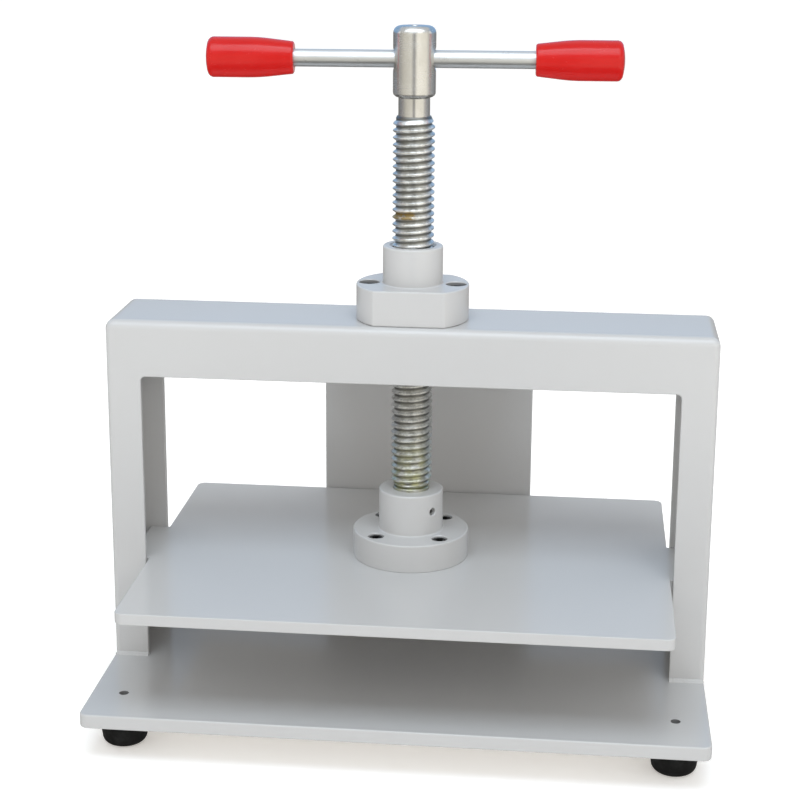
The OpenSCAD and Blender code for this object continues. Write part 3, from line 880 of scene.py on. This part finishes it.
def make_head(material):
    """The neck and the head, with the chamfered cross-hole for the handle bar."""
    head_low, top, shoulder = THREAD_HIGH + NECK_LEN, SCREW_HIGH.z, 5 * MM
    profile = rounded([
        (0, THREAD_HIGH, 0), (NECK_R, THREAD_HIGH, 0), (NECK_R, head_low, 0.7 * MM),
        (HEAD_R, head_low, 3.2 * MM), (HEAD_R, head_low + 9 * MM, 0)],
        closed=False, steps=9)
    profile += arc(HEAD_R - shoulder, top - shoulder, shoulder, 0, 90, 10)
    profile += [(3 * MM, top), (2.6 * MM, top - 0.5 * MM), (MM, top - 2.2 * MM), (0, top - 2.6 * MM)]
    obj = lathe("screw_head", profile, on_axis(0))
    for side in (1, -1):
        drill(obj, BAR_R + 0.08 * MM, -MM, HEAD_R - 1.3 * MM, along_bar(side), 0.8 * MM, 96)
    return place(smooth(obj), "screw", "screw_steel", material, "lead_screw")


# ---- handle
def along_bar(side):
    """Local Z from the screw's axis out along one half of the bar: 1 is right, -1 is left."""
    return towards(Vector((AXIS_X, AXIS_Y, BAR_Z)), BAR_DIRECTION * side)


def make_bar(steel):
    """The handle bar, stepped down at each end to a screw thread inside the grip."""
    end_r, root_r, pitch = 5 * MM, 4.4 * MM, 1.5 * MM
    half = [(BAR_R, BAR_STEP - 0.5 * MM), (BAR_R - 0.5 * MM, BAR_STEP), (end_r, BAR_STEP)]
    for i in range(18):
        z = BAR_STEP + 2 * MM + i * pitch
        half += [(end_r, z), (root_r, z + pitch / 2)]
    half += [(end_r, BAR_END - 0.8 * MM), (end_r - 0.8 * MM, BAR_END), (0, BAR_END)]
    profile = [(r, -z) for r, z in reversed(half)] + half
    obj = smooth(lathe("handle_bar_bright", profile, along_bar(1), 64))
    return place(obj, "handle", "bar_steel", steel, "handle_bar")


def make_grip(side, name, red):
    """A tapered grip with a gently domed end, and a bore for the bar and its insert."""
    r, neck, length = 13.75 * MM, 10.95 * MM, 60 * MM
    end, seat = GRIP_START + length, 7.05 * MM
    profile = [(0, BAR_STEP + INSERT_ROOM), (seat, BAR_STEP + INSERT_ROOM), (seat, BAR_STEP),
               (BAR_R + 0.05 * MM, BAR_STEP)]
    profile += rounded([
        (BAR_R + 0.05 * MM, GRIP_START + MM, 0), (BAR_R + 0.05 * MM, GRIP_START, 0.5 * MM),
        (neck, GRIP_START, 1.6 * MM), (r, GRIP_START + 24 * MM, 130 * MM),
        (r, GRIP_START + 36 * MM, 0)], closed=False, steps=8)
    edge_r, dome = 4 * MM, 1.2 * MM
    profile += arc(r - edge_r, end - dome - edge_r, edge_r, 0, 76, 10)
    rim_r, rim_z = profile[-1]
    for t in (0.8, 0.6, 0.4, 0.2, 0.0):
        profile.append((rim_r * t, end - (end - rim_z) * t * t))
    obj = smooth(lathe(name + "_moulded", profile, along_bar(side), 96))
    return place(obj, "handle", "red_plastic", red, name)


def make_insert(side, name, zinc):
    """The knurled sleeve that the bar's end screws into."""
    outer, inner = 7 * MM, 5.05 * MM
    low, high = BAR_STEP, BAR_STEP + 33.95 * MM
    bevel = 0.5 * MM
    profile = [(inner, low + bevel), (inner + bevel, low), (outer - bevel, low), (outer, low + bevel),
               (outer, low + 12 * MM), (outer - MM, low + 13 * MM), (outer - MM, low + 16 * MM),
               (outer, low + 17 * MM), (outer, high - bevel), (outer - bevel, high),
               (inner + bevel, high), (inner, high - bevel)]
    obj = lathe(name + "_sleeve", profile, along_bar(side), 64, closed=True,
                flutes=(low + bevel, high - bevel, 0.15 * MM))
    return place(smooth(obj), "handle", "zinc_steel", zinc, name)


# ---- hidden parts
def ring(name, inner, outer, low, high, bevel, matrix):
    """A flat ring with bevelled edges. An inner radius of 0 gives a disc."""
    profile = [(outer - bevel, low), (outer, low + bevel), (outer, high - bevel), (outer - bevel, high)]
    if inner <= 0:
        return lathe(name, [(0, low)] + profile + [(0, high)], matrix)
    profile += [(inner + bevel, high), (inner, high - bevel), (inner, low + bevel), (inner + bevel, low)]
    return lathe(name, profile, matrix, closed=True)


def make_foot_washers(zinc):
    """The washers between the feet and their screws' heads."""
    low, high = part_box("foot_washers")
    spots = [at(*foot_centre(name), 0) for name in FEET]
    parts = [ring("washer", FOOT_HOLE_R, 5.9 * MM, low.z, high.z, 0.2 * MM, spot) for spot in spots]
    obj = smooth(join("foot_washers_zinc", parts))
    return place(obj, "frame", "zinc_steel", zinc, "foot_washers")


def make_thrust_washer(bronze):
    """The disc under the journal, a hair lower than its seat so that the two never touch."""
    low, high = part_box("thrust_washer")
    radius, top = (high.x - low.x) / 2, high.z - 0.1 * MM
    obj = ring("thrust_washer_bronze", 0, radius, low.z, top, 0.4 * MM, on_axis(0))
    return place(smooth(obj), "platen", "bronze", bronze, "thrust_washer")


def make_beam_inside(enamel, black):
    """The plate that closes the beam from below, and the block that the nut is bolted to."""
    low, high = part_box("beam_bottom_plate")
    bottom = plate("beam_underside", rounded_rectangle(low, high, 0.5 * MM), low.z, high.z, 0.4 * MM)
    drill(bottom, BEAM_HOLE_R, low.z - MM, high.z + MM, on_axis(0))
    place(smooth(bottom), "frame", "enamel", enamel, "beam_bottom_plate")
    low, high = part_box("beam_core_block")
    core = plate("beam_core_steel", rounded_rectangle(low, high, 2 * MM), low.z, high.z, 0.5 * MM)
    drill(core, BEAM_HOLE_R, low.z - MM, high.z + MM, on_axis(0))
    for x in nut_bolt_places():
        drill(core, 4.05 * MM, low.z - MM, high.z + MM, at(x, AXIS_Y, 0))
    place(smooth(core), "frame", "black_steel", black, "beam_core_block")


# ---- studio
def make_floor():
    """A plain pale floor, whose far rim slopes up so that no edge of it shows."""
    look = Finish("floor_paper", Roughness=0.9, Specular_IOR_Level=0.1)
    cloud = look.noise(1.5, 2)
    look.set("Base Color", look.mix(cloud, grey(0.88), grey(0.90)))
    look.set("Emission Color", grey(1.0, (1.0, 0.95, 0.88)))
    look.set("Emission Strength", 0.36)
    bm = bmesh.new()
    bmesh.ops.create_circle(bm, cap_ends=True, radius=30, segments=96)
    rim = bmesh.ops.extrude_edge_only(bm, edges=[e for e in bm.edges if e.is_boundary])["geom"]
    for v in rim:
        if isinstance(v, bmesh.types.BMVert):
            v.co = Vector((v.co.x * 1.2, v.co.y * 1.2, 16))
    obj = new_object("floor", bm)
    obj.data.materials.append(look.material)
    return obj


def glow(name, colour, strength):
    """A plain light-giving material for a panel."""
    material = bpy.data.materials.new(name)
    material.use_nodes = True
    tree = material.node_tree
    tree.nodes.clear()
    emission = tree.nodes.new("ShaderNodeEmission")
    emission.inputs["Color"].default_value = colour
    emission.inputs["Strength"].default_value = strength
    output = tree.nodes.new("ShaderNodeOutputMaterial")
    tree.links.new(emission.outputs["Emission"], output.inputs["Surface"])
    return material


def graded_glow(name, stops):
    """A light-giving material that changes round the screw. Each stop is an angle in degrees
    from the camera's side, a strength and a tint."""
    look = Finish(name)
    x, y, _ = look.axes()
    back = look.math("SUBTRACT", AXIS_Y, y)
    angle = look.math("ARCTAN2", look.math("SUBTRACT", x, AXIS_X), back)
    band = look.node("ShaderNodeValToRGB")
    start, turn = VIEW_TURN - math.pi, 2 * math.pi
    look.link(look.ramp(angle, start, start + turn), band.inputs["Fac"])
    brightest = max(strength for _, strength, _ in stops)
    elements = band.color_ramp.elements
    for i, (degrees, strength, tint) in enumerate(stops):
        spot = (degrees + 180) / 360
        element = elements[i] if i < 2 else elements.new(spot)
        element.position = spot
        element.color = grey(strength / brightest, tint)
    look.set("Base Color", grey(0.0))
    look.set("Specular IOR Level", 0.0)
    look.set("Emission Color", band.outputs["Color"])
    look.set("Emission Strength", brightest)
    return look.material


def make_walls():
    """The walls that the steel reflects: pale behind, dark in the rear corners, dim at the
    sides, with a soft cream light on the left, a stronger one on the right and a gap between."""
    cream, plain = (1.0, 0.96, 0.85), (1.0, 0.98, 0.96)
    return graded_glow("panel_walls", [
        (-180, 0.8, plain), (-150, 0.2, plain), (-90, 0.4, plain), (-60, 0.75, cream),
        (-18, 0.95, cream), (-2, 0.3, plain), (13, 1.2, cream), (65, 1.15, cream),
        (85, 0.6, plain), (145, 0.2, plain), (180, 0.8, plain)])


def only_reflected(obj):
    """The object is seen in reflections, and neither by the camera nor as a light or shade."""
    obj.visible_camera = False
    obj.visible_diffuse = False
    obj.visible_shadow = False
    obj.visible_transmission = False
    return obj


def panel(name, first, last, reach, low, high, material, top_reach=None):
    """A curved studio panel round the press, seen only in its reflections. Angles are in
    degrees from the camera's side of the screw, and positive ones are to the right."""
    bm = bmesh.new()
    steps = 32
    lower, upper = [], []
    for i in range(steps + 1):
        a = math.radians(first + (last - first) * i / steps) + VIEW_TURN
        out = Vector((math.sin(a), -math.cos(a), 0))
        lower.append(bm.verts.new(SCREW_AXIS + out * reach + Vector((0, 0, low))))
        upper.append(bm.verts.new(SCREW_AXIS + out * (top_reach or reach) + Vector((0, 0, high))))
    for i in range(steps):
        bm.faces.new([lower[i], lower[i + 1], upper[i + 1], upper[i]])
    obj = new_object(name, bm)
    obj.data.materials.append(material)
    return only_reflected(obj)


def bench_panel(colour, strength):
    """A dim disc just over the floor, so that the steel reflects a bench and not the floor."""
    bm = bmesh.new()
    bmesh.ops.create_circle(bm, cap_ends=True, radius=1.1, segments=64)
    bmesh.ops.translate(bm, vec=(0, 0, 0.5 * MM), verts=bm.verts)
    obj = new_object("panel_bench", bm)
    obj.data.materials.append(glow("panel_bench", colour, strength))
    return only_reflected(obj)


def soft_light(name, place_at, target, width, height, power, colour):
    """A rectangular lamp that shines at the target."""
    lamp = bpy.data.lights.new(name, "AREA")
    lamp.shape = "RECTANGLE"
    lamp.size = width
    lamp.size_y = height
    lamp.energy = power
    lamp.color = colour
    obj = linked(name, lamp)
    obj.location = place_at
    obj.rotation_euler = (Vector(target) - Vector(place_at)).to_track_quat("-Z", "Y").to_euler()


def make_camera():
    """The camera at the photograph's angle."""
    yaw, pitch, roll = VIEW_TURN, VIEW_TILT, VIEW_ROLL
    forward = Vector((-math.sin(yaw) * math.cos(pitch), math.cos(yaw) * math.cos(pitch), math.sin(pitch)))
    level = Vector((math.cos(yaw), math.sin(yaw), 0))
    upright = level.cross(forward)
    right = level * math.cos(roll) + upright * math.sin(roll)
    up = upright * math.cos(roll) - level * math.sin(roll)
    data = bpy.data.cameras.new("camera")
    data.lens = 81.02
    data.sensor_width = 36
    data.shift_x = 0.0039
    data.shift_y = -0.070
    data.clip_start = 0.05
    data.clip_end = 100
    obj = linked("camera", data)
    turn = Matrix((right, up, -forward)).transposed().to_4x4()
    obj.matrix_world = Matrix.Translation(CAMERA_PLACE) @ turn
    bpy.context.scene.camera = obj


def make_studio():
    """The world, the floor, the lamps, the panels and the camera."""
    scene = bpy.context.scene
    scene.view_settings.view_transform = "Standard"
    world = bpy.data.worlds.new("studio")
    world.use_nodes = True
    background = world.node_tree.nodes["Background"]
    background.inputs["Color"].default_value = (0.93, 0.965, 1.0, 1.0)
    background.inputs["Strength"].default_value = 0.72
    scene.world = world
    make_floor()
    soft_light("front_high", (0.05, -0.8, 1.95), (0, 0, 0.2), 1.4, 0.9, 19, (0.78, 0.89, 1.0))
    soft_light("key_right", (1.2, -1.6, 1.2), (0, 0, 0.25), 1.0, 1.0, 3.2, (1.0, 0.95, 0.88))
    walls = make_walls()
    sky_high = glow("panel_high", (0.88, 0.94, 1.0, 1), 2.6)
    sky_behind = glow("panel_sky_behind", (0.42, 0.66, 1.0, 1), 0.8)
    panels = [
        panel("panel_front", -85, 85, 0.74, -0.02, 0.75, walls),
        panel("panel_rear", 85, 275, 1.15, -0.02, 0.52, walls),
        panel("panel_sky_behind", 100, 260, 1.2, 0.52, 1.5, sky_behind),
        panel("panel_high", -70, 70, 1.2, 1.4, 2.05, sky_high, 0.6),
        bench_panel((1.0, 0.98, 0.95, 1), 0.14),
    ]
    make_camera()


# ---- build
def build():
    """Every piece of the press."""
    enamel = make_enamel()
    turned = make_turned_steel()
    thread_steel = make_thread_steel()
    bar_steel = make_bar_steel()
    zinc = make_zinc()
    black = make_black_oxide()
    bronze = make_bronze()
    rubber = make_rubber()
    red = make_red_plastic()

    make_base(enamel)
    make_frame(enamel)
    make_welds(enamel)
    make_brace(enamel)
    make_beam_inside(enamel, black)
    make_nut(enamel)
    seats = [(x, AXIS_Y, NUT_LOW.z + NUT_BOLT_SEAT) for x in nut_bolt_places()]
    bolts = make_cap_screws("main_nut_bolts_black", seats, shank_r=4 * MM, shank_len=40 * MM,
                            head_r=NUT_BOLT_HEAD_R, head_h=8 * MM, key_af=6 * MM)
    place(bolts, "frame", "black_steel", black, "main_nut_bolts")
    for name in FEET:
        make_foot(name, rubber)
    make_foot_screws(zinc)
    make_foot_washers(zinc)

    make_platen(enamel)
    make_socket(enamel)
    seats = [(x, y, SOCKET_LOW.z + SOCKET_BOLT_SEAT) for x, y in socket_bolt_spots()]
    bolts = make_cap_screws("socket_bolts_black", seats, shank_r=3 * MM, shank_len=20.4 * MM,
                            head_r=SOCKET_BOLT_HEAD_R, head_h=6 * MM, key_af=5 * MM)
    place(bolts, "platen", "black_steel", black, "socket_bolts")
    make_retainer(zinc)
    make_thrust_washer(bronze)

    make_journal(thread_steel)
    make_thread(thread_steel)
    make_head(turned)

    make_bar(bar_steel)
    make_grip(-1, "grip_left", red)
    make_grip(1, "grip_right", red)
    make_insert(-1, "grip_insert_left", zinc)
    make_insert(1, "grip_insert_right", zinc)


build()
make_studio()
